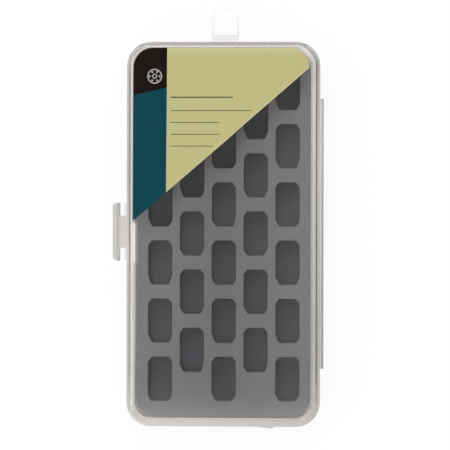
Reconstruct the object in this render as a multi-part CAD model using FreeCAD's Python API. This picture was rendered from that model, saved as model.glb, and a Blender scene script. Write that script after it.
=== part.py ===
import FreeCAD, Part
import math
import os

Vec = FreeCAD.Vector

# Frame, in millimetres: the box lies on its base with +Z up. +X points to the hinge side, -X to the latch
# side, and +Y to the end with the hanging loop. The origin is the centre of the base's underside.

# Rim, the outline where base and lid meet
RIM_WIDTH = 87.5
RIM_LENGTH = 174.0
RIM_CORNER_RADIUS = 11.0
FLANGE_REACH = 1.85
FLANGE_THICKNESS = 1.5
FLANGE_EDGE_CHAMFER = 0.3

# Trays
BOX_HEIGHT = 26.0
PARTING_Z = 15.5
PARTING_GAP = 0.15
PLATE_THICKNESS = 1.2
BASE_WALL = 1.0
LID_WALL = 0.8
DRAFT_DEG = 2.2
BASE_EDGE_RADIUS = 1.7
LID_EDGE_RADIUS = 1.5
BASE_INNER_CHAMFER = 0.5
LID_INNER_CHAMFER = 0.2

# Step inside the base's rim, which centres the lid
STEP_CLEARANCE = 0.5
STEP_THICKNESS = 0.7
STEP_HEIGHT = 1.15
STEP_DEPTH = 2.2
STEP_TAPER = 1.0

# Living hinge along the +X side
HINGE_LENGTH = 122.0
HINGE_CENTRE_Y = 0.2
HINGE_LEAF_REACH = 1.25
HINGE_LEAF_THICKNESS = 0.5
HINGE_WEB_THICKNESS = 0.3

# Latch on the -X side
LATCH_CENTRE_Y = 0.95
LATCH_LENGTH = 26.4
LATCH_ARM_LENGTH = 14.6
LATCH_STUB_REACH = 0.65
LATCH_WEB_WIDTH = 0.9
LATCH_WEB_THICKNESS = 0.35
LATCH_ARM_THICKNESS = 1.0
LATCH_ARM_TOP_Z = 16.8
LATCH_PLATE_GAP = 3.38
LATCH_PLATE_THICKNESS = 1.3
LATCH_PLATE_TOP_Z = 17.1
LATCH_PLATE_STRAIGHT_Z = 11.2
LATCH_PLATE_BOTTOM_Z = 6.8
LATCH_FLARE = 2.8
LATCH_FLARE_BOW = 0.7
LATCH_PLATE_LOW_CORNER = 1.8
LATCH_PLATE_TOP_CORNER = 1.0
HOOK_TIP_GAP = 0.25
HOOK_TOP_Z = 13.3
HOOK_NOSE = 0.4
HOOK_THICKNESS = 1.2
BEAD_DEPTH = 0.45
BEAD_LENGTH = 22.4
BEAD_LOW_Z = 14.4
BEAD_HIGH_Z = 15.2

# Catch rib on the base's flange, under the latch
CATCH_LENGTH = 25.8
CATCH_REACH = 1.2
CATCH_LOW_Z = 13.6
CATCH_HIGH_Z = 15.2
CATCH_CHAMFER = 0.3

# Hanging loop on the +Y end
LOOP_CENTRE_X = 0.83
LOOP_WIDTH = 11.8
LOOP_TIP_Y = 102.6
LOOP_BAR = 1.3
LOOP_FOLD_BAR = 0.9
LOOP_STUB_REACH = 1.72
LOOP_WEB_WIDTH = 0.96
LOOP_WEB_THICKNESS = 0.3
LOOP_THICKNESS = 0.7
LOOP_MID_Z = 14.7
LOOP_CORNER_RADIUS = 1.6
LOOP_WINDOW_RADIUS = 0.6

# Moulding lip on the -Y end of the base's flange: foot, peak and far foot along X
LIP_START_X = 14.2
LIP_PEAK_X = 21.9
LIP_END_X = 24.0
LIP_REACH = 1.05

# Foam insert, which lies a little towards +X and +Y in the base. Its pockets are cut a little off its centre.
FOAM_WIDTH = 79.0
FOAM_LENGTH = 165.4
FOAM_CORNER_RADIUS = 8.5
FOAM_SHIFT_X = 0.1
FOAM_SHIFT_Y = 0.1
BACKING_THICKNESS = 2.0
GRID_THICKNESS = 13.0
POCKET_WIDTH = 10.9
POCKET_LENGTH = 20.0
POCKET_CUT_X = 1.8
POCKET_CUT_Y = 2.2
POCKETS_SHIFT_X = 0.33
POCKETS_SHIFT_Y = 0.24
COLUMN_PITCH = 14.42
ROW_PITCH = 26.36
ROWS_PER_COLUMN = (6, 5, 6, 5, 6)

# Card under the lid's top
CARD_THICKNESS = 0.3
CARD_LEFT_TOP_X = -40.15
CARD_LEFT_LOW_X = -40.6
CARD_RIGHT_X = 38.6
CARD_TOP_Y = 83.4
CARD_SLANT_RIGHT_Y = 73.95
CARD_SLANT_LEFT_Y = 5.45
CARD_CORNER_RADIUS = 8.8
CARD_TOP_CLEARANCE = 0.05

HALF_WIDTH = RIM_WIDTH / 2
HALF_LENGTH = RIM_LENGTH / 2
BASE_RIM_Z = PARTING_Z - PARTING_GAP / 2
LID_RIM_Z = PARTING_Z + PARTING_GAP / 2
DRAFT = math.tan(math.radians(DRAFT_DEG))
STEP_OUTER_INSET = FLANGE_REACH + LID_WALL + STEP_CLEARANCE
STEP_INNER_INSET = STEP_OUTER_INSET + STEP_THICKNESS
LATCH_AXIS_X = -(HALF_WIDTH + LATCH_STUB_REACH + LATCH_WEB_WIDTH / 2)
LOOP_FOLD_Y = HALF_LENGTH + LOOP_STUB_REACH + LOOP_WEB_WIDTH / 2


def rounded_rectangle(half_x, half_y, radius, z, centre_x=0.0, centre_y=0.0):
    """A closed wire of four lines and four quarter circles, level at z."""
    edges = []
    reach_x, reach_y = half_x - radius, half_y - radius
    for quarter, (sign_x, sign_y) in enumerate(((1, 1), (-1, 1), (-1, -1), (1, -1))):
        centre = Vec(centre_x + sign_x * reach_x, centre_y + sign_y * reach_y, z)
        start = math.pi / 2 * quarter
        around = [
            centre + Vec(math.cos(start + turn), math.sin(start + turn), 0) * radius
            for turn in (0, math.pi / 4, math.pi / 2)
        ]
        edges.append(Part.Arc(*around).toShape())
    joined = []
    for arc, following in zip(edges, edges[1:] + edges[:1]):
        joined.append(arc)
        joined.append(Part.LineSegment(arc.Vertexes[-1].Point, following.Vertexes[0].Point).toShape())
    return Part.Wire(joined)


def rim_section(inset, z):
    """The rim's outline drawn in by inset, level at z."""
    return rounded_rectangle(HALF_WIDTH - inset, HALF_LENGTH - inset, RIM_CORNER_RADIUS - inset, z)


def prism(wire, height):
    return Part.Face(wire).extrude(Vec(0, 0, height))


def loft(sections):
    return Part.makeLoft(sections, True, True)


def closed_polygon(corners):
    return Part.makePolygon(corners + corners[:1])


def polygon_along_y(points, length, centre_y):
    """A profile of (x, z) points, extruded along Y about centre_y."""
    start_y = centre_y - length / 2
    outline = closed_polygon([Vec(x, start_y, z) for x, z in points])
    return Part.Face(outline).extrude(Vec(0, length, 0))


def level_edges(shape, z):
    """The edges of a shape that lie level at z."""
    return [e for e in shape.Edges if all(abs(v.Z - z) < 1e-6 for v in e.Vertexes)]


def flange(bottom_z):
    """The rim's flat flange, with both its outer edges eased."""
    plate = prism(rim_section(0, bottom_z), FLANGE_THICKNESS)
    for z in (bottom_z, bottom_z + FLANGE_THICKNESS):
        plate = plate.makeChamfer(FLANGE_EDGE_CHAMFER, level_edges(plate, z))
    return plate


def tray_block(rim_z, closed_z, edge_radius):
    """A tray's outside, drafted from its rim to its closed face."""
    closed_inset = FLANGE_REACH + abs(closed_z - rim_z) * DRAFT
    block = loft([rim_section(FLANGE_REACH, rim_z), rim_section(closed_inset, closed_z)])
    return block.makeFillet(edge_radius, level_edges(block, closed_z))


def wall_inset(wall, z, rim_z):
    """How far the inner face of a drafted wall lies inside the rim's outline."""
    return FLANGE_REACH + wall + abs(z - rim_z) * DRAFT


def base_cavity():
    """The base's hollow: drafted walls that taper in under the step."""
    floor_z = PLATE_THICKNESS
    step_low_z = BASE_RIM_Z - STEP_DEPTH
    taper_low_z = step_low_z - STEP_TAPER
    hollow = loft([
        rim_section(wall_inset(BASE_WALL, floor_z, BASE_RIM_Z), floor_z),
        rim_section(wall_inset(BASE_WALL, taper_low_z, BASE_RIM_Z), taper_low_z),
        rim_section(STEP_INNER_INSET, step_low_z),
        rim_section(STEP_INNER_INSET, BASE_RIM_Z + STEP_HEIGHT + BASE_WALL),
    ])
    return hollow.makeChamfer(BASE_INNER_CHAMFER, level_edges(hollow, floor_z))


def hinge_leaf(bottom_z):
    """One stiff leaf of the living hinge, flush with its tray's rim."""
    start_x = HALF_WIDTH - FLANGE_REACH / 2
    reach = HALF_WIDTH + HINGE_LEAF_REACH - start_x
    corner = Vec(start_x, HINGE_CENTRE_Y - HINGE_LENGTH / 2, bottom_z)
    return Part.makeBox(reach, HINGE_LENGTH, HINGE_LEAF_THICKNESS, corner)


def catch_rib():
    """The ledge that the latch's hook goes under."""
    inner_x = -(HALF_WIDTH - FLANGE_REACH / 2)
    outer_x = -(HALF_WIDTH + CATCH_REACH)
    return polygon_along_y([
        (inner_x, CATCH_LOW_Z),
        (outer_x + CATCH_CHAMFER, CATCH_LOW_Z),
        (outer_x, CATCH_LOW_Z + CATCH_CHAMFER),
        (outer_x, CATCH_HIGH_Z - 2 * CATCH_CHAMFER),
        (outer_x + 2 * CATCH_CHAMFER, CATCH_HIGH_Z),
        (inner_x, CATCH_HIGH_Z),
    ], CATCH_LENGTH, LATCH_CENTRE_Y)


def moulding_lip():
    """The small slanting lip on the front end of the base's flange."""
    bottom_z = BASE_RIM_Z - FLANGE_THICKNESS + FLANGE_EDGE_CHAMFER
    inner_y = -HALF_LENGTH + FLANGE_REACH / 2
    corners = [
        Vec(LIP_START_X, inner_y, bottom_z),
        Vec(LIP_START_X, -HALF_LENGTH, bottom_z),
        Vec(LIP_PEAK_X, -HALF_LENGTH - LIP_REACH, bottom_z),
        Vec(LIP_END_X, -HALF_LENGTH, bottom_z),
        Vec(LIP_END_X, inner_y, bottom_z),
    ]
    return prism(closed_polygon(corners), FLANGE_THICKNESS - 2 * FLANGE_EDGE_CHAMFER)


def base_shell():
    block = tray_block(BASE_RIM_Z, 0.0, BASE_EDGE_RADIUS)
    step = prism(rim_section(STEP_OUTER_INSET, BASE_RIM_Z - BASE_WALL), STEP_HEIGHT + BASE_WALL)
    shell = block.multiFuse([
        flange(BASE_RIM_Z - FLANGE_THICKNESS),
        step,
        hinge_leaf(BASE_RIM_Z - HINGE_LEAF_THICKNESS),
        catch_rib(),
        moulding_lip(),
        loop_box(HALF_LENGTH - FLANGE_REACH / 2, LOOP_FOLD_Y - LOOP_WEB_WIDTH / 2, LOOP_THICKNESS),
    ])
    return shell.cut(base_cavity()).removeSplitter()


def lid_shell():
    ceiling_z = BOX_HEIGHT - PLATE_THICKNESS
    block = tray_block(LID_RIM_Z, BOX_HEIGHT, LID_EDGE_RADIUS)
    mouth_inset = wall_inset(LID_WALL, LID_RIM_Z, LID_RIM_Z)
    hollow = loft([
        rim_section(mouth_inset, LID_RIM_Z - LID_WALL),
        rim_section(mouth_inset, LID_RIM_Z),
        rim_section(wall_inset(LID_WALL, ceiling_z, LID_RIM_Z), ceiling_z),
    ])
    hollow = hollow.makeChamfer(LID_INNER_CHAMFER, level_edges(hollow, ceiling_z))
    stub_inner_x = -(HALF_WIDTH - FLANGE_REACH / 2)
    latch_stub = Part.makeBox(
        HALF_WIDTH + LATCH_STUB_REACH + stub_inner_x,
        LATCH_ARM_LENGTH,
        LATCH_ARM_THICKNESS,
        Vec(
            -(HALF_WIDTH + LATCH_STUB_REACH),
            LATCH_CENTRE_Y - LATCH_ARM_LENGTH / 2,
            LATCH_ARM_TOP_Z - LATCH_ARM_THICKNESS,
        ),
    )
    shell = block.multiFuse([flange(LID_RIM_Z), hinge_leaf(LID_RIM_Z), latch_stub])
    return shell.cut(hollow).removeSplitter()


def lid_hinge_web():
    """The thin fold that joins the two hinge leaves: half a tube, closed round the parting plane."""
    centre_x = HALF_WIDTH + HINGE_LEAF_REACH
    inner = PARTING_GAP / 2
    outer = inner + HINGE_WEB_THICKNESS
    start_y = HINGE_CENTRE_Y - HINGE_LENGTH / 2

    def half_circle(radius):
        return Part.Arc(
            Vec(centre_x, start_y, PARTING_Z - radius),
            Vec(centre_x + radius, start_y, PARTING_Z),
            Vec(centre_x, start_y, PARTING_Z + radius),
        ).toShape()

    outside, inside = half_circle(outer), half_circle(inner)
    ends = [
        Part.LineSegment(Vec(centre_x, start_y, PARTING_Z + side * inner),
                         Vec(centre_x, start_y, PARTING_Z + side * outer)).toShape()
        for side in (-1, 1)
    ]
    section = Part.Wire(Part.__sortEdges__([outside, ends[0], inside, ends[1]]))
    return Part.Face(section).extrude(Vec(0, HINGE_LENGTH, 0))


def latch_hinge_web():
    """The thin strip that the latch folds on."""
    return Part.makeBox(
        LATCH_WEB_WIDTH,
        LATCH_ARM_LENGTH,
        LATCH_WEB_THICKNESS,
        Vec(
            LATCH_AXIS_X - LATCH_WEB_WIDTH / 2,
            LATCH_CENTRE_Y - LATCH_ARM_LENGTH / 2,
            LATCH_ARM_TOP_Z - LATCH_WEB_THICKNESS,
        ),
    )


def round_edges_along(shape, axis, radius, wanted):
    """Rounds the straight edges parallel to axis whose middle passes the wanted test."""
    chosen = [
        e for e in shape.Edges
        if isinstance(e.Curve, Part.Line)
        and abs(e.Curve.Direction.dot(axis)) > 0.999
        and wanted(e.CenterOfMass)
    ]
    return shape.makeFillet(radius, chosen)


def finger_plate(inner_x, start_y):
    """The curved plate: straight beside the rim, then flared outward to a lip with round corners."""
    outer_x = inner_x - LATCH_PLATE_THICKNESS
    top, knee, low = LATCH_PLATE_TOP_Z, LATCH_PLATE_STRAIGHT_Z, LATCH_PLATE_BOTTOM_Z

    def at(x, z):
        return Vec(x, start_y, z)

    def flare(x):
        """The arc that leaves the straight stretch at x and swings outward to the lip."""
        middle = at(x - LATCH_FLARE_BOW, (knee + low) / 2)
        return Part.Arc(at(x, knee), middle, at(x - LATCH_FLARE, low)).toShape()

    def line(start, end):
        return Part.LineSegment(start, end).toShape()

    section = Part.Wire([
        line(at(inner_x, top), at(outer_x, top)),
        line(at(outer_x, top), at(outer_x, knee)),
        flare(outer_x),
        line(at(outer_x - LATCH_FLARE, low), at(inner_x - LATCH_FLARE, low)),
        flare(inner_x),
        line(at(inner_x, knee), at(inner_x, top)),
    ])
    swept = Part.Face(section).extrude(Vec(0, LATCH_LENGTH, 0))
    lip_x = outer_x - LATCH_FLARE
    bounds = Part.makeBox(inner_x - lip_x, LATCH_LENGTH, top - low, at(lip_x, low))
    bounds = round_edges_along(bounds, Vec(1, 0, 0), LATCH_PLATE_TOP_CORNER, lambda middle: middle.z > knee)
    bounds = round_edges_along(bounds, Vec(1, 0, 0), LATCH_PLATE_LOW_CORNER, lambda middle: middle.z < knee)
    return swept.common(bounds)


def latch_plate():
    """The latch beyond its hinge: finger plate, arm, hook for the base's rib, and stiffening bead."""
    inner_x = -(HALF_WIDTH + LATCH_PLATE_GAP)
    rooted_x = inner_x - LATCH_PLATE_THICKNESS / 2
    arm_start_x = LATCH_AXIS_X - LATCH_WEB_WIDTH / 2
    tip_x = -(HALF_WIDTH + HOOK_TIP_GAP)
    plate = finger_plate(inner_x, LATCH_CENTRE_Y - LATCH_LENGTH / 2)
    arm = polygon_along_y([
        (arm_start_x, LATCH_ARM_TOP_Z),
        (arm_start_x, LATCH_ARM_TOP_Z - LATCH_ARM_THICKNESS),
        (rooted_x, LATCH_ARM_TOP_Z - LATCH_ARM_THICKNESS),
        (rooted_x, LATCH_ARM_TOP_Z),
    ], LATCH_ARM_LENGTH, LATCH_CENTRE_Y)
    hook = polygon_along_y([
        (rooted_x, HOOK_TOP_Z),
        (tip_x, HOOK_TOP_Z),
        (tip_x, HOOK_TOP_Z - HOOK_NOSE),
        (tip_x - HOOK_THICKNESS, HOOK_TOP_Z - HOOK_THICKNESS),
        (rooted_x, HOOK_TOP_Z - HOOK_THICKNESS),
    ], LATCH_ARM_LENGTH, LATCH_CENTRE_Y)
    bead = polygon_along_y([
        (rooted_x, BEAD_LOW_Z),
        (inner_x, BEAD_LOW_Z),
        (inner_x + BEAD_DEPTH, (BEAD_LOW_Z + BEAD_HIGH_Z) / 2),
        (inner_x, BEAD_HIGH_Z),
        (rooted_x, BEAD_HIGH_Z),
    ], BEAD_LENGTH, LATCH_CENTRE_Y)
    return plate.multiFuse([arm, hook, bead]).removeSplitter()


def loop_box(start_y, end_y, thickness):
    """A box as wide as the hanging loop, centred on its mid height."""
    corner = Vec(LOOP_CENTRE_X - LOOP_WIDTH / 2, start_y, LOOP_MID_Z - thickness / 2)
    return Part.makeBox(LOOP_WIDTH, end_y - start_y, thickness, corner)


def hang_loop_web():
    """The thin strip that the hanging loop folds on."""
    return loop_box(LOOP_FOLD_Y - LOOP_WEB_WIDTH / 2, LOOP_FOLD_Y + LOOP_WEB_WIDTH / 2, LOOP_WEB_THICKNESS)


def hang_loop():
    """The flat frame that hooks over a peg: round corners at its tip, and a window."""
    start_y = LOOP_FOLD_Y + LOOP_WEB_WIDTH / 2
    frame = round_edges_along(loop_box(start_y, LOOP_TIP_Y, LOOP_THICKNESS), Vec(0, 0, 1),
                              LOOP_CORNER_RADIUS, lambda middle: middle.y > start_y + LOOP_FOLD_BAR)
    window_start_y = start_y + LOOP_FOLD_BAR
    half_length = (LOOP_TIP_Y - LOOP_BAR - window_start_y) / 2
    window = prism(
        rounded_rectangle(LOOP_WIDTH / 2 - LOOP_BAR, half_length, LOOP_WINDOW_RADIUS,
                          LOOP_MID_Z - LOOP_THICKNESS / 2, LOOP_CENTRE_X, window_start_y + half_length),
        LOOP_THICKNESS,
    )
    return frame.cut(window)


def pocket(centre_x, centre_y, low_z):
    """One die-cut pocket: an upright rectangle with its corners cut off."""
    half_x, half_y = POCKET_WIDTH / 2, POCKET_LENGTH / 2
    corners = []
    for sign_x, sign_y in ((1, 1), (-1, 1), (-1, -1), (1, -1)):
        on_end = Vec(centre_x + sign_x * (half_x - POCKET_CUT_X), centre_y + sign_y * half_y, low_z)
        on_side = Vec(centre_x + sign_x * half_x, centre_y + sign_y * (half_y - POCKET_CUT_Y), low_z)
        corners += [on_side, on_end] if sign_x == sign_y else [on_end, on_side]
    return prism(closed_polygon(corners), GRID_THICKNESS)


def foam_sheet(low_z, thickness):
    outline = rounded_rectangle(FOAM_WIDTH / 2, FOAM_LENGTH / 2, FOAM_CORNER_RADIUS, low_z,
                                FOAM_SHIFT_X, FOAM_SHIFT_Y)
    return prism(outline, thickness)


def foam_backing():
    """The thin foam layer that is every pocket's floor."""
    return foam_sheet(PLATE_THICKNESS, BACKING_THICKNESS)


def foam_grid():
    """The thick foam layer, with its columns of pockets staggered by half a row."""
    low_z = PLATE_THICKNESS + BACKING_THICKNESS
    pockets = []
    for column, rows in enumerate(ROWS_PER_COLUMN):
        x = POCKETS_SHIFT_X + (column - (len(ROWS_PER_COLUMN) - 1) / 2) * COLUMN_PITCH
        for row in range(rows):
            y = POCKETS_SHIFT_Y + (row - (rows - 1) / 2) * ROW_PITCH
            pockets.append(pocket(x, y, low_z))
    return foam_sheet(low_z, GRID_THICKNESS).cut(Part.makeCompound(pockets))


def printed_card():
    """A sheet with two rounded top corners and a slanting lower edge."""
    low_z = BOX_HEIGHT - PLATE_THICKNESS - CARD_TOP_CLEARANCE - CARD_THICKNESS
    corners = [
        Vec(CARD_LEFT_TOP_X, CARD_TOP_Y, low_z),
        Vec(CARD_LEFT_LOW_X, CARD_SLANT_LEFT_Y, low_z),
        Vec(CARD_RIGHT_X, CARD_SLANT_RIGHT_Y, low_z),
        Vec(CARD_RIGHT_X, CARD_TOP_Y, low_z),
    ]
    sheet = prism(closed_polygon(corners), CARD_THICKNESS)
    return round_edges_along(sheet, Vec(0, 0, 1), CARD_CORNER_RADIUS, lambda middle: middle.y == CARD_TOP_Y)


NODES = (
    base_shell,
    foam_backing,
    foam_grid,
    hang_loop_web,
    hang_loop,
    lid_hinge_web,
    lid_shell,
    printed_card,
    latch_hinge_web,
    latch_plate,
)


def main():
    os.makedirs("parts", exist_ok=True)
    for build in NODES:
        shape = build()
        if len(shape.Solids) != 1 or not shape.isValid():
            raise ValueError(f"{build.__name__} isn't one valid solid")
        shape.Solids[0].exportStep(os.path.join("parts", build.__name__ + ".step"))
        print(f"{build.__name__}: {shape.Volume:.1f} cubic mm, {len(shape.Faces)} faces")


main()
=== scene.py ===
import math
import random

import bmesh
import bpy
from mathutils import Matrix, Vector
from mathutils.bvhtree import BVHTree
from mathutils.interpolate import poly_3d_calc


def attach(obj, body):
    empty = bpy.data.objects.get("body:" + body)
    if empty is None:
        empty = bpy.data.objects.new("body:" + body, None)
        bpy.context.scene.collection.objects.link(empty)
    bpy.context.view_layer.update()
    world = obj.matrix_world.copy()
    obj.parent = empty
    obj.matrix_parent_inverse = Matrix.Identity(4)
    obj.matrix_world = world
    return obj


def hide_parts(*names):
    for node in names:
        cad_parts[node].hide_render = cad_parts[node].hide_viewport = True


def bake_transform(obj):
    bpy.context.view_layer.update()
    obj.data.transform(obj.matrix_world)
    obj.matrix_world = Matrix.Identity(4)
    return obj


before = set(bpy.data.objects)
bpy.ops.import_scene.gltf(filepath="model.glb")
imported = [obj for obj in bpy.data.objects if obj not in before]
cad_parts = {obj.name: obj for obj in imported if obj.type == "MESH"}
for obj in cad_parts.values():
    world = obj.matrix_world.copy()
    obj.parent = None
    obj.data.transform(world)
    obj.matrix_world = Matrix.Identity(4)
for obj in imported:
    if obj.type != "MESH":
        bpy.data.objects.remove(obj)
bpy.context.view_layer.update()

# Lengths are in millimetres until MM turns them into the scene's metres.
MM = 0.001

# Rim, where base and lid meet
HALF_WIDTH = 43.75
HALF_LENGTH = 87.0
RIM_CORNER_RADIUS = 11.0
FLANGE_REACH = 1.85
FLANGE_THICKNESS = 1.5
FLANGE_ROUNDING = 0.35

# Trays
BOX_HEIGHT = 26.0
PARTING_Z = 15.5
PARTING_GAP = 0.15
PLATE = 1.2
BASE_WALL = 1.0
LID_WALL = 0.8
DRAFT = math.tan(math.radians(2.2))
BASE_EDGE_RADIUS = 1.7
LID_EDGE_RADIUS = 1.5
BASE_INNER_RADIUS = 0.5
LID_INNER_RADIUS = 0.2
LID_EDGE_MARGIN = 0.1
FOOT_RADIUS = 0.25
FOOT_SHADE_INSET = 0.8
SUPPORT_INSET = 7.0
STEP_CLEARANCE = 0.5
STEP_THICKNESS = 0.7
STEP_HEIGHT = 1.15
STEP_DEPTH = 2.2
STEP_TAPER = 1.0
STEP_ROUNDING = 0.2

# Living hinge along the +X side. What stands on the rim is rooted in it, and the leaves lie a hair off its
# faces.
ROOT = 0.8
LIFT = 0.02
HINGE_LEAF_REACH = 1.25
HINGE_LEAF_THICKNESS = 0.5
HINGE_ENDS_Y = (-60.8, 61.2)
HINGE_FOLD_THICKNESS = 0.298
OUTSIDE_RIM = 0.12

# Latch on the -X side
LATCH_CENTRE_Y = 0.95
ARM_ENDS_Y = (-6.35, 8.25)
ARM_Z = (15.8, 16.8)
LATCH_STUB_REACH = 0.65
LATCH_FOLD_WIDTH = 0.9
LATCH_FOLD_Z = (16.45, 16.8)
CATCH_REACH = 1.2
CATCH_HALF_LENGTH = 12.9
CATCH_Z = (13.6, 15.2)
CATCH_CHAMFER = 0.3
FINGER_PLATE_GAP = 3.38
FINGER_PLATE_THICKNESS = 1.3
FINGER_PLATE_HALF_LENGTH = 13.2
FINGER_PLATE_Z = (6.8, 17.1)
FINGER_PLATE_KNEE_Z = 11.2
FINGER_PLATE_FLARE = 2.8
FINGER_PLATE_TOP_RADIUS = 1.0
FINGER_PLATE_LOW_RADII = (1.9, 1.2)
FLARE_STEPS = 8
HOOK_TIP_GAP = 0.25
HOOK_THICKNESS = 1.2
HOOK_TOP_Z = 13.3
HOOK_NOSE_Z = 12.9
BEAD_DEPTH = 0.45
BEAD_HALF_LENGTH = 11.2
BEAD_Z = (14.4, 15.2)

# Hanging loop on the +Y end
LOOP_CENTRE_X = 0.83
LOOP_HALF_WIDTH = 5.9
LOOP_STUB_REACH = 1.72
LOOP_FOLD_WIDTH = 0.96
LOOP_FOLD_Z = (14.55, 14.85)
LOOP_TIP_Y = 102.6
LOOP_Z = (14.35, 15.05)
LOOP_BAR = 1.3
LOOP_FOLD_BAR = 0.9
LOOP_TIP_RADIUS = 1.6
LOOP_START_RADIUS = 0.1
LOOP_WINDOW_RADIUS = 0.6
LOOP_PLAIN_TIP = 3.5

# Moulding lip on the -Y end: foot, peak and far foot along X
LIP_X = (14.2, 21.9, 24.0)
LIP_REACH = 1.05
LIP_Z = (14.225, 15.125)

# Foam
FOAM_HALF_WIDTH = 39.5
FOAM_HALF_LENGTH = 82.7
FOAM_CORNER_RADIUS = 8.5
FOAM_SHIFT = Vector((0.1, 0.1))
GRID_LOW_Z = 3.2
GRID_HIGH_Z = 16.2
FOAM_TOP_ROUNDING = 0.35
FOAM_ROUNDING_MIDDLE = 0.3
POCKET_HALF_WIDTH = 5.45
POCKET_HALF_LENGTH = 10.0
POCKET_TOP_CUT = (1.8, 2.2)
POCKET_TOP_ROUNDING = 0.6
POCKET_LOW_CUT_X = (1.3, 1.9)
POCKET_LOW_CUT_Y = (2.2, 4.4)
POCKET_LOW_ROUNDING = (0.9, 1.8)
POCKET_SWAY = 0.15
POCKET_WAIST = 0.25
POCKETS_SHIFT = Vector((0.33, 0.24))
POCKETS_SEED = 4
COLUMN_PITCH = 14.42
ROW_PITCH = 26.36
ROWS_PER_COLUMN = (6, 5, 6, 5, 6)

# How far small edges are rounded
BLOCK_ROUNDING = 0.12
SMALL_ROUNDING = 0.08
FREE_EDGE_ROUNDING = 0.25

# The look of the clear plastic at its places: how cloudy, how shiny beyond plain gloss, how pale, and how
# much cloudier in the middle of the corners, on the latch side and on the hinge side. How pale each place
# is
# paints light and shade: painted shade makes the wall and the flange's foot dark, and painted light makes
# the edges and the inner wall pale.
FLAT_LOOK = Vector((0.0, 0.0, 0.8, 0.0, 0.0))
BEND_LOOK = Vector((0.02, 0.08, 0.6, 0.0, 0.0))
STEEP_LOOK = Vector((0.4, 0.17, 0.35, 0.0, 0.0))
# Painted shade: the wall is dark
WALL_LOOK = Vector((0.5, 0.0, 0.06, 0.0, 0.0))
FLANGE_LOOK = Vector((0.42, 0.0, 0.57, 0.0, 0.0))
# Painted shade: the flange's foot is darkest
FOOT_LOOK = Vector((0.85, 0.0, 0.0, 0.0, 0.0))
UNDER_LOOK = Vector((0.5, 0.0, 0.65, 0.0, 0.0))
# Painted light: the inner wall is pale
INNER_LOOK = Vector((0.45, 0.0, 0.85, 0.0, 0.0))
# Painted light: the corners are cloudier and pale
CORNER_LIGHT_LOOK = Vector((0.003, 0.0, 0.8, 0.35, 0.6))
# How the painted light over the corners thins out along the lid's ceiling, with each place's inset from the
# rim
CORNER_LIGHT_LOOKS = ((3.95, Vector((0.002, 0.0, 0.8, 0.35, 0.6))),
              (4.25, Vector((0.0, 0.0, 0.8, 0.0, 0.6))),
              (5.0, Vector((0.0, 0.0, 0.8, 0.0, 0.5))),
              (5.4, FLAT_LOOK))
# Base's step, hinge, loop, lip and latch
LEDGE_LOOK = Vector((0.8, 0.0, 0.8, 0.0, 0.0))
STEP_LOOK = Vector((0.85, 0.0, 0.6, 0.0, 0.0))
LEAF_LOOK = Vector((0.25, 0.0, 0.78, 0.0, 0.0))
LEAF_END_LOOK = Vector((0.5, 0.0, 0.42, 0.0, 0.0))
LOOP_LOOK = Vector((0.0, 0.0, 0.8, 0.0, 0.0))
LOOP_EDGE_LOOK = Vector((0.9, 0.0, 0.1, 0.0, 0.0))
LIP_LOOK = Vector((0.6, 0.0, 0.4, 0.0, 0.0))
LIP_EDGE_LOOK = Vector((0.5, 0.0, 0.3, 0.0, 0.0))
LATCH_LOOK = Vector((0.75, 0.0, 0.45, 0.0, 0.0))
LATCH_EDGE_LOOK = Vector((0.5, 0.0, 0.8, 0.0, 0.0))
ARM_LOOK = Vector((0.3, 0.0, 0.78, 0.0, 0.0))
ARM_EDGE_LOOK = Vector((0.3, 0.0, 0.8, 0.0, 0.0))
WEB_LOOK = Vector((0.5, 0.0, 0.28, 0.0, 0.0))
CREASE_LOOK = Vector((0.6, 0.0, 0.4, 0.0, 0.0))

BASE_RIM_Z = PARTING_Z - PARTING_GAP / 2
LID_RIM_Z = PARTING_Z + PARTING_GAP / 2

# How finely curves are divided, and the angles above which an edge stays sharp or is rounded
CORNER_STEPS = 10
PROFILE_STEPS = 5
POCKET_CORNER_STEPS = 3
LOOP_CORNER_STEPS = 6
WEB_STEPS = 12
CREASE_STEPS = 3
SMOOTH_DEG = 40
FOAM_SMOOTH_DEG = 60
PRISM_EDGE_DEG = 20
SQUARE_EDGE_DEG = 60
ROUNDING_SEGMENTS = 2
ROUND_PROFILE = 0.5
FACE_AREA_WEIGHT = 100
CUT_TOLERANCE = 1e-7
DISTANCE_DIGITS = 7


def rounded_path(corners, steps, closed=False):
    """The polyline through (a, b, radius, looks...) corners, each drawn as an arc of its radius.

    Each point comes with its look, which goes from the corner's first look to its last along the arc.
    """
    path = []
    count = len(corners)
    for i, (a, b, radius, *looks) in enumerate(corners):
        looks = looks or [FLAT_LOOK]
        here = Vector((a, b))
        at_end = not closed and i in (0, count - 1)
        if radius == 0 or at_end:
            path.append((here, looks[0]))
            continue
        back = (Vector(corners[i - 1][:2]) - here).normalized()
        ahead = (Vector(corners[(i + 1) % count][:2]) - here).normalized()
        half = back.angle(ahead) / 2
        centre = here + (back + ahead).normalized() * radius / math.sin(half)
        start = here + back * radius / math.tan(half) - centre
        turn = math.pi - 2 * half
        if start.x * back.y - start.y * back.x > 0:
            turn = -turn
        for step in range(steps + 1):
            along = step / steps
            point = centre + Matrix.Rotation(turn * along, 2) @ start
            path.append((point, looks[0].lerp(looks[-1], along)))
    return path


def rounded_rectangle(half_x, half_y, radius):
    """The points of a rounded rectangle about the origin, anticlockwise."""
    corners = [(half_x, half_y, radius), (-half_x, half_y, radius),
               (-half_x, -half_y, radius), (half_x, -half_y, radius)]
    return [point for point, _ in rounded_path(corners, CORNER_STEPS, closed=True)]


def add_ring(bm, points, z):
    return [bm.verts.new((p.x * MM, p.y * MM, z * MM)) for p in points]


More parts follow.
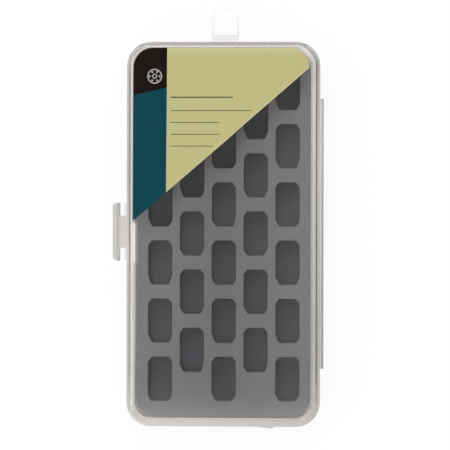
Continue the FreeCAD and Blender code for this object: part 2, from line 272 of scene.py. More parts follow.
def bridge(bm, ring, following):
    count = len(ring)
    for i in range(count):
        j = (i + 1) % count
        bm.faces.new((ring[i], ring[j], following[j], following[i]))


def set_look(v, layer, look, corner=0.0):
    cloud, shine, pale, latch_side, hinge_side = look
    v[layer] = (cloud + corner * (hinge_side if v.co.x > 0 else latch_side), shine, pale, 1)


def sharp_edges(bm, angle_deg):
    bmesh.ops.recalc_face_normals(bm, faces=bm.faces)
    return [e for e in bm.edges if e.calc_face_angle(0) > math.radians(angle_deg)]


def ease_edges(bm, edges, rounding, look, edge_look):
    """Rounds edges, and gives the middle of each rounding a look of its own."""
    layer = bm.verts.layers.float_color.new("look")
    eased = bmesh.ops.bevel(bm, geom=edges, offset=rounding * MM, affect="EDGES",
                            segments=ROUNDING_SEGMENTS, profile=ROUND_PROFILE)
    rounded = set(eased["faces"])
    for v in bm.verts:
        set_look(v, layer, edge_look if rounded.issuperset(v.link_faces) else look)


def fill_between(bm, rings):
    """Closes the flat area that the rings bound."""
    edges = [bm.edges.get((ring[i - 1], ring[i])) for ring in rings for i in range(len(ring))]
    bmesh.ops.triangle_fill(bm, use_beauty=True, use_dissolve=False, edges=edges)


def finish_mesh(bm, name, smooth_deg=SMOOTH_DEG):
    bmesh.ops.recalc_face_normals(bm, faces=bm.faces)
    mesh = bpy.data.meshes.new(name)
    bm.to_mesh(mesh)
    bm.free()
    mesh.shade_smooth()
    mesh.set_sharp_from_angle(angle=math.radians(smooth_deg))
    piece = bpy.data.objects.new(name, mesh)
    bpy.context.collection.objects.link(piece)
    return piece


def rim_shell(name, profile):
    """A closed shell whose wall follows the rim.

    Its profile holds (inset, z) points with their looks, from one flat face to the other.
    """
    bm = bmesh.new()
    layer = bm.verts.layers.float_color.new("look")
    rings = []
    for (inset, z), look in profile:
        outline = rounded_rectangle(HALF_WIDTH - inset, HALF_LENGTH - inset, RIM_CORNER_RADIUS - inset)
        rings.append(add_ring(bm, outline, z))
        for i, v in enumerate(rings[-1]):
            along_corner = i % (CORNER_STEPS + 1) / CORNER_STEPS
            # The extra cloud in the middle of the corners is painted light
            set_look(v, layer, look, math.sin(math.pi * along_corner))
    for ring, following in zip(rings, rings[1:]):
        bridge(bm, ring, following)
    bm.faces.new(rings[0])
    bm.faces.new(rings[-1])
    return finish_mesh(bm, name)


def block(name, low, high, look, edge_look):
    """A box between two corners in millimetres, with its edges rounded."""
    bm = bmesh.new()
    bmesh.ops.create_cube(bm, size=1)
    low, high = Vector(low), Vector(high)
    for v in bm.verts:
        v.co = MM * Vector([lo + (hi - lo) * (c + 0.5) for lo, hi, c in zip(low, high, v.co)])
    ease_edges(bm, bm.edges[:], BLOCK_ROUNDING, look, edge_look)
    return finish_mesh(bm, name)


def prism_along(name, outline, axis, start, end, look, edge_look, rounding=BLOCK_ROUNDING):
    """A closed outline of (a, b) points, swept along axis Y (a, b are x, z) or Z (a, b are x, y)."""
    bm = bmesh.new()
    rings = []
    for level in (start, end):
        ring = []
        for a, b in outline:
            point = (a, level, b) if axis == "Y" else (a, b, level)
            ring.append(bm.verts.new(Vector(point) * MM))
        rings.append(ring)
    bridge(bm, *rings)
    bm.faces.new(rings[0])
    bm.faces.new(rings[1])
    ease_edges(bm, sharp_edges(bm, PRISM_EDGE_DEG), rounding, look, edge_look)
    return finish_mesh(bm, name)


def look_finder(solid):
    """Gives a function that finds a place's distance from the solid's surface, and the look there."""
    places = [v.co.copy() for v in solid.data.vertices]
    faces = [face.vertices[:] for face in solid.data.polygons]
    looks = [Vector(point.color) for point in solid.data.attributes["look"].data]
    surface = BVHTree.FromPolygons(places, faces)

    def find(place):
        nearest, _, index, distance = surface.find_nearest(place)
        corners = faces[index]
        weights = poly_3d_calc([places[i] for i in corners], nearest)
        look = sum((weight * looks[i] for weight, i in zip(weights, corners)), Vector((0, 0, 0, 0)))
        return round(distance, DISTANCE_DIGITS), look

    return find


def unite(piece, others):
    """Joins solids into one closed solid, whose points take on the look of the solid that they lie on."""
    for other in others:
        union = piece.modifiers.new("union", "BOOLEAN")
        union.operation = "UNION"
        union.solver = "EXACT"
        union.object = other
    depsgraph = bpy.context.evaluated_depsgraph_get()
    joined = bpy.data.meshes.new_from_object(piece.evaluated_get(depsgraph))
    piece.modifiers.clear()
    finders = [look_finder(solid) for solid in (piece, *others)]
    for v, point in zip(joined.vertices, joined.attributes["look"].data):
        point.color = min((find(v.co) for find in finders), key=lambda found: found[0])[1]
    piece.data = joined
    joined.shade_smooth()
    joined.set_sharp_from_angle(angle=math.radians(SMOOTH_DEG))
    for other in others:
        bpy.data.objects.remove(other)
    return piece


def cut_through(bm, place, normal):
    """Divides the faces along a plane through a place in millimetres."""
    return bmesh.ops.bisect_plane(bm, geom=bm.verts[:] + bm.edges[:] + bm.faces[:], plane_co=place * MM,
                                  plane_no=normal, dist=CUT_TOLERANCE)


def part_looks(piece, axis, start, look):
    """Ends the rim's look at start, beyond which what sticks out in the axis's direction has its own."""
    bm = bmesh.new()
    bm.from_mesh(piece.data)
    axis = Vector(axis)
    cut = cut_through(bm, axis * start, axis)["geom_cut"]
    layer = bm.verts.layers.float_color["look"]
    for v in cut:
        if isinstance(v, bmesh.types.BMVert):
            set_look(v, layer, look)
    bm.to_mesh(piece.data)
    bm.free()


def weigh_normals(piece):
    """Keeps large flat faces flat where they meet rounded edges."""
    modifier = piece.modifiers.new("weighted_normals", "WEIGHTED_NORMAL")
    modifier.keep_sharp = True
    modifier.weight = FACE_AREA_WEIGHT


def wall_inset(z, rim_z):
    return FLANGE_REACH + abs(z - rim_z) * DRAFT


def lid_profile():
    top, ceiling = BOX_HEIGHT, BOX_HEIGHT - PLATE
    flange_top = LID_RIM_Z + FLANGE_THICKNESS
    return rounded_path([
        (SUPPORT_INSET, top, 0, FLAT_LOOK),
        (wall_inset(top, LID_RIM_Z) + LID_EDGE_RADIUS + LID_EDGE_MARGIN, top, 0, FLAT_LOOK),
        (wall_inset(top, LID_RIM_Z), top, LID_EDGE_RADIUS, BEND_LOOK, STEEP_LOOK),
        (wall_inset(flange_top, LID_RIM_Z), flange_top, FOOT_RADIUS, WALL_LOOK, FOOT_LOOK),
        (FOOT_SHADE_INSET, flange_top, 0, FLANGE_LOOK),
        (0, flange_top, FLANGE_ROUNDING, FLANGE_LOOK),
        (0, LID_RIM_Z, FLANGE_ROUNDING, FLANGE_LOOK),
        (FLANGE_REACH + LID_WALL, LID_RIM_Z, FOOT_RADIUS, UNDER_LOOK, INNER_LOOK),
        (wall_inset(ceiling, LID_RIM_Z) + LID_WALL, ceiling, LID_INNER_RADIUS, INNER_LOOK, CORNER_LIGHT_LOOK),
        *[(inset, ceiling, 0, look) for inset, look in CORNER_LIGHT_LOOKS],
        (SUPPORT_INSET, ceiling, 0, FLAT_LOOK),
    ], PROFILE_STEPS)


def base_profile():
    flange_low = BASE_RIM_Z - FLANGE_THICKNESS
    step_outer = FLANGE_REACH + LID_WALL + STEP_CLEARANCE
    step_inner = step_outer + STEP_THICKNESS
    step_low = BASE_RIM_Z - STEP_DEPTH
    taper_low = step_low - STEP_TAPER
    return rounded_path([
        (SUPPORT_INSET, 0, 0, FLAT_LOOK),
        (wall_inset(0, BASE_RIM_Z), 0, BASE_EDGE_RADIUS, FLAT_LOOK, WALL_LOOK),
        (wall_inset(flange_low, BASE_RIM_Z), flange_low, FOOT_RADIUS, WALL_LOOK, FOOT_LOOK),
        (FOOT_SHADE_INSET, flange_low, 0, FLANGE_LOOK),
        (0, flange_low, FLANGE_ROUNDING, FLANGE_LOOK),
        (0, BASE_RIM_Z, FLANGE_ROUNDING, FLANGE_LOOK),
        (step_outer, BASE_RIM_Z, FOOT_RADIUS / 2, LEDGE_LOOK),
        (step_outer, BASE_RIM_Z + STEP_HEIGHT, STEP_ROUNDING, STEP_LOOK),
        (step_inner, BASE_RIM_Z + STEP_HEIGHT, STEP_ROUNDING, STEP_LOOK),
        (step_inner, step_low, FOOT_RADIUS, WALL_LOOK),
        (wall_inset(taper_low, BASE_RIM_Z) + BASE_WALL, taper_low, FOOT_RADIUS, WALL_LOOK),
        (wall_inset(PLATE, BASE_RIM_Z) + BASE_WALL, PLATE, BASE_INNER_RADIUS, WALL_LOOK, FLAT_LOOK),
        (SUPPORT_INSET, PLATE, 0, FLAT_LOOK),
    ], PROFILE_STEPS)


# Materials. Heights of bumps are in millimetres. A noise is given by its scale per metre, its detail and,
# where it isn't 0.5, its roughness.
WHITE = (1, 1, 1, 1)


def material(name):
    made = bpy.data.materials.new(name)
    made.use_nodes = True
    made.node_tree.nodes.clear()
    return made


class Nodes:
    """Short calls for building one material's nodes."""

    def __init__(self, made):
        self.tree = made.node_tree

    def add(self, kind, inputs=(), **settings):
        node = self.tree.nodes.new(kind)
        for key, value in settings.items():
            setattr(node, key, value)
        for key, value in dict(inputs).items():
            if isinstance(value, bpy.types.NodeSocket):
                self.tree.links.new(value, node.inputs[key])
            else:
                node.inputs[key].default_value = value
        return node

    def math(self, operation, *values, clamp=False):
        node = self.add("ShaderNodeMath", dict(enumerate(values)), operation=operation, use_clamp=clamp)
        return node.outputs[0]

    def ramp(self, value, start, end, low=0.0, high=1.0, soft=False):
        """Goes from low to high while the value goes from start to end, and is level before and after."""
        node = self.add("ShaderNodeMapRange",
                        {"Value": value, "From Min": start, "From Max": end, "To Min": low, "To Max": high},
                        interpolation_type="SMOOTHSTEP" if soft else "LINEAR")
        return node.outputs[0]

    def mix(self, factor, first, second):
        return self.add("ShaderNodeMix", {0: factor, 2: first, 3: second}).outputs[0]

    def mix_colour(self, factor, first, second, blend="MIX"):
        node = self.add("ShaderNodeMix", {0: factor, 6: first, 7: second},
                        data_type="RGBA", blend_type=blend)
        return node.outputs[2]

    def mix_shaders(self, factor, first, second):
        return self.add("ShaderNodeMixShader", {0: factor, 1: first, 2: second}).outputs[0]

    def share(self, first, second, part):
        """A part of the first value, and the rest of the second."""
        return self.math("ADD", self.math("MULTIPLY", first, part), self.math("MULTIPLY", second, 1 - part))

    def parts(self, vector):
        """The vector's x, y and z."""
        return self.add("ShaderNodeSeparateXYZ", {0: vector}).outputs

    def place(self):
        """The point on the object, in metres."""
        return self.add("ShaderNodeTexCoord").outputs["Object"]

    def noise(self, scale, detail=2.0, roughness=0.5):
        node = self.add("ShaderNodeTexNoise", {"Vector": self.place(), "Scale": scale, "Detail": detail,
                                               "Roughness": roughness})
        return node.outputs["Fac"]

    def bump(self, height, distance):
        return self.add("ShaderNodeBump", {"Height": height, "Distance": distance * MM}).outputs[0]

    def carries_light(self):
        """1 for a shadow ray, or a ray from one matt surface to another, and 0 for what is seen."""
        path = self.add("ShaderNodeLightPath").outputs
        return self.math("MAXIMUM", path["Is Shadow Ray"], path["Is Diffuse Ray"])

    def output(self, shader):
        self.add("ShaderNodeOutputMaterial", {"Surface": shader})


# Clear plastic: the tint and the refractive index of the box and of the thinner hanging loop, its shine,
# and the colours of its milky part, from darkest to palest, between which each place's paleness paints
# light and shade
CLEAR_TINT = (0.965, 0.965, 0.96, 1)
CLEAR_IOR = 1.36
THIN_TINT = (0.995, 0.995, 0.993, 1)
THIN_IOR = 1.12
GLOSS_ROUGHNESS = 0.12
GLOSS_LIMIT = 0.2
RIPPLE_NOISE = (90, 1.0)
RIPPLE_HEIGHT = 0.08
MILK_DARK = (0.05, 0.05, 0.05, 1)
MILK_TINTS = ((0.985, 0.937, 0.913, 1), (0.97, 0.947, 0.915, 1))
MILK_NOISE = (45, 1.0)
MILK_ROUGHNESS = 0.4
# It is cloudier where it is seen at a low angle, and with painted light that gets thicker towards the front
# end
RISE_POWER = 3.0
GRAZING_CLOUD = 0.4
FRONT_LIGHT_START_Y = -62.0
FRONT_LIGHT_CLOUD = 0.2
# The rim of the front end, milky with painted light: its paleness on the latch side and on the hinge side,
# and how dull it is
FRONT_RIM_Y = (-81.7, -84.3)
FRONT_RIM_CLOUD = 0.4
FRONT_PALENESS = (0.57, 0.48)
FRONT_RIM_TINT = (0.985, 0.942, 0.937, 1)
FRONT_RIM_DULLNESS = 0.8
# Painted shade: how much darker the milky part is towards the front, on the hinge side and on the latch
# side
SHADE_Y = (60.0, -40.0)
HINGE_SHADE = 0.3
LATCH_SHADE = 0.1
# From where on, and how much, the shine of the upper edge is dulled on the hinge side
DULL_Y = (68.0, 50.0)
HINGE_DULLNESS = 0.5
# Painted shade on stretches of the flange: in the latch side's crease, at the far end, in its crease, and
# on the hinge side
LATCH_CREASE_X = (-43.0, -42.6, -42.1, -41.8)
LATCH_CREASE_SHADE = 0.24
FAR_FLANGE_Y = (84.7, 85.0, 88.0, 89.0)
FAR_FLANGE_SHADE = 0.1
FAR_CREASE_Y = (85.0, 85.3, 85.8, 86.1)
FAR_CREASE_SHADE = 0.3
HINGE_FLANGE_X = (42.2, 42.5, 43.7, 43.9)
HINGE_FLANGE_Y = (25.0, 60.0)
HINGE_FLANGE_SHADE = 0.2
# A painted highlight on the upper edge at the lid's far end, with the warm tint of a painted reflection
CREST_Y = (83.7, 84.0, 84.35, 84.5)
CREST_Z = (24.4, 25.0)
CREST_CLOUD = 0.27
CREST_PALENESS = 0.3
CREST_TINT = (1.0, 0.92, 0.83, 1)
# A painted highlight on the wall beside the latch, and a painted gleam that goes on from there towards the
# front
GLARE_X = (-40.6, -40.2, -40.1, -37.4)
GLARE_Y = (-13.4, -12.0, 4.4, 5.2)
GLARE_CLOUD = 0.22
GLARE_PALENESS = 0.26
GLARE_TINT = (1.0, 0.907, 0.89, 1)
GLEAM_X = (-39.4, -39.15, -39.0, -38.6)
GLEAM_Y = (-80.0, -30.0, -13.4, -12.0)
GLEAM_CLOUD = 0.2


def clear_plastic(name, tint, ior):
    """Clear moulded plastic, whose mesh says point by point how cloudy, shiny and pale it is; its paleness,
    and the marks placed along the box, paint light and shade.

    It lets light through to what it covers.
    """
    made = material(name)
    n = Nodes(made)
    x, y, z = n.parts(n.place())

    def rise(value, start, end):
        """A soft rise from 0 at start to 1 at end, in millimetres."""
        return n.ramp(value, start * MM, end * MM, soft=True)

    def band(value, edges):
        """1 between the middle two of four edges, and 0 beyond the outer two."""
        return n.math("MULTIPLY", rise(value, *edges[:2]), rise(value, edges[3], edges[2]))

    def both(first, second):
        return n.math("MULTIPLY", first, second)

    def raised(value, mask, amount):
        return n.math("ADD", value, n.math("MULTIPLY", mask, amount), clamp=True)

    def lowered(value, mask, amount):
        return n.math("MULTIPLY", value, n.math("SUBTRACT", 1.0, n.math("MULTIPLY", mask, amount)))

    hinge_side = n.math("GREATER_THAN", x, 0.0)
    # Places of painted light: the front end and its rim, a painted highlight on the far upper edge, and
    # painted highlights beside the latch
    front = n.ramp(y, FRONT_LIGHT_START_Y * MM, -HALF_LENGTH * MM)
    front_rim = rise(y, *FRONT_RIM_Y)
    crest = both(band(y, CREST_Y), rise(z, *CREST_Z))
    glare = both(band(x, GLARE_X), band(y, GLARE_Y))
    gleam = both(band(x, GLEAM_X), band(y, GLEAM_Y))
    look = n.add("ShaderNodeAttribute", attribute_name="look").outputs["Vector"]
    cloud, shine, pale = n.parts(look)

    facing = n.add("ShaderNodeLayerWeight").outputs["Facing"]
    grazing = n.math("MULTIPLY", n.math("POWER", facing, RISE_POWER), GRAZING_CLOUD)
    # Painted light towards the front end, and on the front rim
    front_light = n.math("MULTIPLY", n.math("POWER", front, RISE_POWER), FRONT_LIGHT_CLOUD)
    front_light = n.math("ADD", front_light, n.math("MULTIPLY", front_rim, FRONT_RIM_CLOUD))
    cloud = n.math("ADD", n.math("ADD", grazing, cloud), front_light, clamp=True)
    for mask, amount in ((crest, CREST_CLOUD), (gleam, GLEAM_CLOUD), (glare, GLARE_CLOUD)):
        cloud = raised(cloud, mask, amount)

    # Painted shade towards the front, and on stretches of the flange
    shade = n.ramp(y, SHADE_Y[0] * MM, SHADE_Y[1] * MM)
    pale = lowered(pale, shade, n.mix(hinge_side, LATCH_SHADE, HINGE_SHADE))
    for mask, amount in ((band(x, LATCH_CREASE_X), LATCH_CREASE_SHADE),
                         (band(y, FAR_FLANGE_Y), FAR_FLANGE_SHADE),
                         (band(y, FAR_CREASE_Y), FAR_CREASE_SHADE),
                         (both(band(x, HINGE_FLANGE_X), rise(y, *HINGE_FLANGE_Y)), HINGE_FLANGE_SHADE)):
        pale = lowered(pale, mask, amount)
    # Painted light: the front end and its rim are pale
    front_pale = n.ramp(x, -HALF_WIDTH * MM, HALF_WIDTH * MM, *FRONT_PALENESS)
    pale = n.mix(n.math("MAXIMUM", front, front_rim), pale, front_pale)
    for mask, amount in ((glare, GLARE_PALENESS), (crest, CREST_PALENESS)):
        pale = raised(pale, mask, amount)

    # The milk's tint, warmed and pinked where highlights and the front rim's light are painted
    milk_tint = n.mix_colour(n.noise(*MILK_NOISE), *MILK_TINTS)
    for mask, mask_tint in ((crest, CREST_TINT), (glare, GLARE_TINT), (front_rim, FRONT_RIM_TINT)):
        milk_tint = n.mix_colour(mask, milk_tint, mask_tint)
    ripple = n.bump(n.noise(*RIPPLE_NOISE), RIPPLE_HEIGHT)
    milk = n.add("ShaderNodeBsdfPrincipled",
                 {"Base Color": n.mix_colour(pale, MILK_DARK, milk_tint), "Roughness": MILK_ROUGHNESS,
                  "Specular IOR Level": 0.0, "Normal": ripple}).outputs[0]
    through = n.add("ShaderNodeBsdfTransparent", {"Color": tint}).outputs[0]
    gloss = n.add("ShaderNodeBsdfAnisotropic",
                  {"Color": WHITE, "Roughness": GLOSS_ROUGHNESS, "Normal": ripple}).outputs[0]

    mirrored = n.math("MINIMUM", n.add("ShaderNodeFresnel", {"IOR": ior}).outputs[0], GLOSS_LIMIT)
    dulled = n.math("MAXIMUM", n.math("MULTIPLY", front_rim, FRONT_RIM_DULLNESS),
                    n.math("MULTIPLY", both(hinge_side, rise(y, *DULL_Y)), HINGE_DULLNESS))
    shine = n.math("MULTIPLY", shine, n.math("SUBTRACT", 1.0, dulled))
    surface = n.mix_shaders(n.math("ADD", mirrored, shine), n.mix_shaders(cloud, through, milk), gloss)
    n.output(n.mix_shaders(n.carries_light(), surface, through))
    return made


# Foam: the light and dark of its cells in the grid and in the floor, the floor's paler than the grid's as
# painted light in the pockets, the tints of broad patches over them, and its painted shade along its middle
# and painted light along its long sides, where the clear walls let light in
GRID_COLOURS = ((0.2, 0.196, 0.198, 1), (0.157, 0.154, 0.155, 1))
# The floor sheet's colours are paler than the grid's: painted light in the deep pockets
FLOOR_SHEET_COLOURS = ((0.32, 0.312, 0.325, 1), (0.262, 0.255, 0.268, 1))
FOAM_COOL = (0.965, 0.94, 1.0, 1)
FOAM_WARM = (0.97, 0.955, 0.965, 1)
FOAM_SHADES = (0.94, 1.15)
CELL_NOISE = (2200, 3.0, 0.6)
CELL_PART = 0.5
CELL_DEPTH = 0.2
CLOUD_NOISE = (60, 2.0)
PATCH_NOISE = (28, 1.0)
PATCH_LEVELS = (0.35, 0.65)
FOAM_ROUGHNESS = 0.95
FOAM_SPECULAR = 0.2


def foam_material(name, light, dark):
    """Fine-celled foam: light and dark cells, under broad patches of a cooler and a warmer tint, with
    painted shade along its middle and painted light along its long sides.
    """
    made = material(name)
    n = Nodes(made)
    cells = n.noise(*CELL_NOISE)
    colour = n.mix_colour(n.share(cells, n.noise(*CLOUD_NOISE), CELL_PART), dark, light)
    patches = n.ramp(n.noise(*PATCH_NOISE), *PATCH_LEVELS)
    tinted = n.mix_colour(1.0, colour, n.mix_colour(patches, FOAM_COOL, FOAM_WARM), "MULTIPLY")
    x = n.parts(n.place())[0]
    # Painted shade along the middle and painted light along the long sides
    beside = n.ramp(n.math("ABSOLUTE", x), 0.0, FOAM_HALF_WIDTH * MM, *FOAM_SHADES)
    shaded = n.add("ShaderNodeVectorMath", {0: tinted, "Scale": beside}, operation="SCALE").outputs[0]
    n.output(n.add("ShaderNodeBsdfPrincipled",
                   {"Base Color": shaded, "Roughness": FOAM_ROUGHNESS, "Specular IOR Level": FOAM_SPECULAR,
                    "Normal": n.bump(cells, CELL_DEPTH)}).outputs[0])
    return made


# The card's print, in millimetres: the right edge of its stripe, the height along the box at which that is
# measured, how it leans, and the boundary between the stripe's two colours, at that edge
STRIPE_EDGE_X = -25.3
STRIPE_EDGE_Y = 35.0
STRIPE_EDGE_LEAN = 0.0063
BOUNDARY_Y = 65.5
BOUNDARY_SLOPE = 0.2265
STRIPE_TEALS = ((0.0006, 0.048, 0.068, 1), (0.0012, 0.062, 0.079, 1))
STRIPE_DARK = (0.0068, 0.0043, 0.0025, 1)
# The slanting edge, its bare margin, and a painted shadow along it, which widens between two places along X
SLANT_START = Vector((-40.15, 5.45))
SLANT_ALONG = Vector((78.75, 68.5)).normalized()
PRINT_MARGIN = 0.38
MARGIN_COLOUR = (0.6, 0.565, 0.36, 1)
SLANT_SHADOW_X = (-10.6, 12.0)
SLANT_SHADOW_WIDTH = 0.27
SLANT_SHADOW_COLOUR = (0.05, 0.047, 0.045, 1)
# The ruled lines: left, right, height along the box, thickness
RULES = ((-23.4, 4.4, 61.2, 0.5), (-23.4, 13.0, 55.2, 0.3), (-23.4, -1.6, 49.9, 0.3),
         (-23.4, -1.6, 44.6, 0.3), (-23.4, -4.6, 39.3, 0.3))
RULE_COLOUR = (0.045, 0.04, 0.02, 1)
# The bobbin seen from its end: its rings as radius and width, and its holes
MOTIF_CENTRE = (-30.6, 70.6)
MOTIF_RINGS = ((3.3, 0.45), (1.1, 0.4))
MOTIF_HOLES = 6
MOTIF_HOLE_CIRCLE = 2.2
MOTIF_HOLE_RADIUS = 0.42
MOTIF_COLOUR = (0.5, 0.45, 0.42, 1)
# The card itself: its field, with painted light towards the far end, its sheen, and the light that it lets
# through
FIELD_COLOURS = ((0.5, 0.47, 0.215, 1), (0.545, 0.515, 0.245, 1))
FAR_END_LIGHT_Y = (79.5, 83.4)
FAR_END_LIGHT_PART = 0.13
FAR_END_LIGHT_COLOUR = (0.95, 0.93, 0.75, 1)
GRAIN_NOISE = (900, 2.0)
GRAIN_PART = 0.6
GRAIN_HEIGHT = 0.03
MOTTLE_NOISE = (70, 3.0)
CARD_ROUGHNESS = 0.2
CARD_SPECULAR = 0.2
CARD_THROUGH = (0.5, 0.5, 0.47, 1)


def card_material():
    made = material("card_print")
    n = Nodes(made)
    grain = n.noise(*GRAIN_NOISE)
    mottle = n.noise(*MOTTLE_NOISE)
    x, y = [n.math("DIVIDE", part, MM) for part in n.parts(n.place())[:2]]

    def offset(value, origin, factor=1.0):
        return n.math("MULTIPLY", n.math("SUBTRACT", value, origin), factor)

    def between(value, low, high):
        return n.math("MULTIPLY", n.math("GREATER_THAN", value, low), n.math("LESS_THAN", value, high))

    def squared(value, origin):
        return n.math("POWER", n.math("ABSOLUTE", offset(value, origin)), 2.0)

    def distance(centre):
        return n.math("SQRT", n.math("ADD", squared(x, centre[0]), squared(y, centre[1])))

    def union(masks):
        joined = masks[0]
        for mask in masks[1:]:
            joined = n.math("MAXIMUM", joined, mask)
        return joined

    stripe_edge = n.math("ADD", offset(y, STRIPE_EDGE_Y, STRIPE_EDGE_LEAN), STRIPE_EDGE_X)
    boundary = n.math("ADD", offset(x, STRIPE_EDGE_X, BOUNDARY_SLOPE), BOUNDARY_Y)
    teal = n.mix_colour(mottle, *STRIPE_TEALS)
    stripe = n.mix_colour(n.math("GREATER_THAN", y, boundary), teal, STRIPE_DARK)
    motif = [between(distance(MOTIF_CENTRE), radius - width, radius) for radius, width in MOTIF_RINGS]
    for i in range(MOTIF_HOLES):
        turn = 2 * math.pi * i / MOTIF_HOLES
        hole = (MOTIF_CENTRE[0] + MOTIF_HOLE_CIRCLE * math.cos(turn),
                MOTIF_CENTRE[1] + MOTIF_HOLE_CIRCLE * math.sin(turn))
        motif.append(n.math("LESS_THAN", distance(hole), MOTIF_HOLE_RADIUS))
    stripe = n.mix_colour(union(motif), stripe, MOTIF_COLOUR)

    paper = n.mix_colour(n.share(grain, mottle, GRAIN_PART), *FIELD_COLOURS)
    rules = [n.math("MULTIPLY", between(x, left, right), between(y, level - width / 2, level + width / 2))
             for left, right, level, width in RULES]
    field = n.mix_colour(union(rules), paper, RULE_COLOUR)
    on_stripe = n.math("LESS_THAN", x, stripe_edge)
    colour = n.mix_colour(on_stripe, field, stripe)

    above_slant = n.math("ADD", offset(x, SLANT_START.x, -SLANT_ALONG.y),
                         offset(y, SLANT_START.y, SLANT_ALONG.x))
    # Painted shadow along the slanting edge, on the card's side of it
    slant_shadow_width = n.ramp(x, *SLANT_SHADOW_X, 0.0, SLANT_SHADOW_WIDTH)
    bare = n.math("LESS_THAN", n.math("SUBTRACT", above_slant, slant_shadow_width), PRINT_MARGIN)
    bare = n.math("MULTIPLY", bare, n.math("GREATER_THAN", x, stripe_edge))
    colour = n.mix_colour(bare, colour, MARGIN_COLOUR)
    colour = n.mix_colour(n.math("LESS_THAN", above_slant, slant_shadow_width), colour, SLANT_SHADOW_COLOUR)
    # Painted light: the field gets paler towards the far end
    far_end_light = n.ramp(y, *FAR_END_LIGHT_Y, 0.0, FAR_END_LIGHT_PART, soft=True)
    far_end_light_on_field = n.math("MULTIPLY", far_end_light, n.math("SUBTRACT", 1.0, on_stripe))
    colour = n.mix_colour(far_end_light_on_field, colour, FAR_END_LIGHT_COLOUR)

    print_side = n.add("ShaderNodeBsdfPrincipled",
                       {"Base Color": colour, "Roughness": CARD_ROUGHNESS,
                        "Specular IOR Level": CARD_SPECULAR,
                        "Normal": n.bump(grain, GRAIN_HEIGHT)}).outputs[0]
    through = n.add("ShaderNodeBsdfTransparent", {"Color": CARD_THROUGH}).outputs[0]
    n.output(n.mix_shaders(n.carries_light(), print_side, through))
    return made


def paint(piece, made):
    piece.data.materials.clear()
    piece.data.materials.append(made)


clear = clear_plastic("clear_plastic_look", CLEAR_TINT, CLEAR_IOR)
clear_thin = clear_plastic("thin_plastic_look", THIN_TINT, THIN_IOR)
foam = foam_material("foam_look", *GRID_COLOURS)
foam_floor_look = foam_material("foam_floor_look", *FLOOR_SHEET_COLOURS)
card = card_material()


def hinge_leaf(low_z):
    low = (HALF_WIDTH - ROOT, HINGE_ENDS_Y[0], low_z)
    high = (HALF_WIDTH + HINGE_LEAF_REACH, HINGE_ENDS_Y[1], low_z + HINGE_LEAF_THICKNESS - LIFT)
    return block("leaf", low, high, LEAF_END_LOOK, LEAF_END_LOOK)


def lid_shell():
    piece = rim_shell("lid_shell_moulding", lid_profile())
    leaf = hinge_leaf(LID_RIM_Z + LIFT)
    stub = block("stub", (-HALF_WIDTH - LATCH_STUB_REACH, ARM_ENDS_Y[0], ARM_Z[0]),
                 (-HALF_WIDTH + ROOT, ARM_ENDS_Y[1], ARM_Z[1]), ARM_LOOK, ARM_EDGE_LOOK)
    unite(piece, [leaf, stub])
    part_looks(piece, (1, 0, 0), HALF_WIDTH + OUTSIDE_RIM, LEAF_LOOK)
    part_looks(piece, (-1, 0, 0), HALF_WIDTH + OUTSIDE_RIM, ARM_LOOK)
    weigh_normals(piece)
    paint(piece, clear)
    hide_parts("lid_shell")
    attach(piece, "lid")


def base_shell():
    piece = rim_shell("base_shell_moulding", base_profile())
    leaf = hinge_leaf(BASE_RIM_Z - HINGE_LEAF_THICKNESS)
    inner, outer = -(HALF_WIDTH - ROOT), -(HALF_WIDTH + CATCH_REACH)
    low, top = CATCH_Z
    rib = prism_along("rib", [(inner, low), (outer + CATCH_CHAMFER, low), (outer, low + CATCH_CHAMFER),
                              (outer, top - 2 * CATCH_CHAMFER), (outer + 2 * CATCH_CHAMFER, top),
                              (inner, top)],
                      "Y", LATCH_CENTRE_Y - CATCH_HALF_LENGTH, LATCH_CENTRE_Y + CATCH_HALF_LENGTH, ARM_LOOK,
                      ARM_EDGE_LOOK, SMALL_ROUNDING)
    foot, peak, end = LIP_X
    back = -HALF_LENGTH + ROOT
    lip = prism_along("lip", [(foot, back), (foot, -HALF_LENGTH), (peak, -HALF_LENGTH - LIP_REACH),
                              (end, -HALF_LENGTH), (end, back)],
                      "Z", *LIP_Z, LIP_LOOK, LIP_EDGE_LOOK, SMALL_ROUNDING)
    stub = block("stub", (LOOP_CENTRE_X - LOOP_HALF_WIDTH, HALF_LENGTH - ROOT, LOOP_Z[0]),
                 (LOOP_CENTRE_X + LOOP_HALF_WIDTH, HALF_LENGTH + LOOP_STUB_REACH, LOOP_Z[1]), LOOP_LOOK,
                 LOOP_EDGE_LOOK)
    unite(piece, [leaf, rib, lip, stub])
    part_looks(piece, (1, 0, 0), HALF_WIDTH + OUTSIDE_RIM, LEAF_LOOK)
    part_looks(piece, (-1, 0, 0), HALF_WIDTH + OUTSIDE_RIM, ARM_LOOK)
    part_looks(piece, (0, 1, 0), HALF_LENGTH + OUTSIDE_RIM, LOOP_LOOK)
    weigh_normals(piece)
    paint(piece, clear)
    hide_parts("base_shell")
    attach(piece, "base")


def pocket_shape(wobble):
    """One pocket's corners about its centre, as (x sign, y sign, cut x, cut y, rounding), and its sway."""
    corners = []
    for sx, sy in ((1, 1), (-1, 1), (-1, -1), (1, -1)):
        if sy > 0:
            cut_x, cut_y = POCKET_TOP_CUT
            radius = POCKET_TOP_ROUNDING
        else:
            cut_x, cut_y = wobble.uniform(*POCKET_LOW_CUT_X), wobble.uniform(*POCKET_LOW_CUT_Y)
            radius = wobble.uniform(*POCKET_LOW_ROUNDING)
        corners.append((sx, sy, cut_x, cut_y, radius))
    return corners, wobble.uniform(-POCKET_SWAY, POCKET_SWAY)


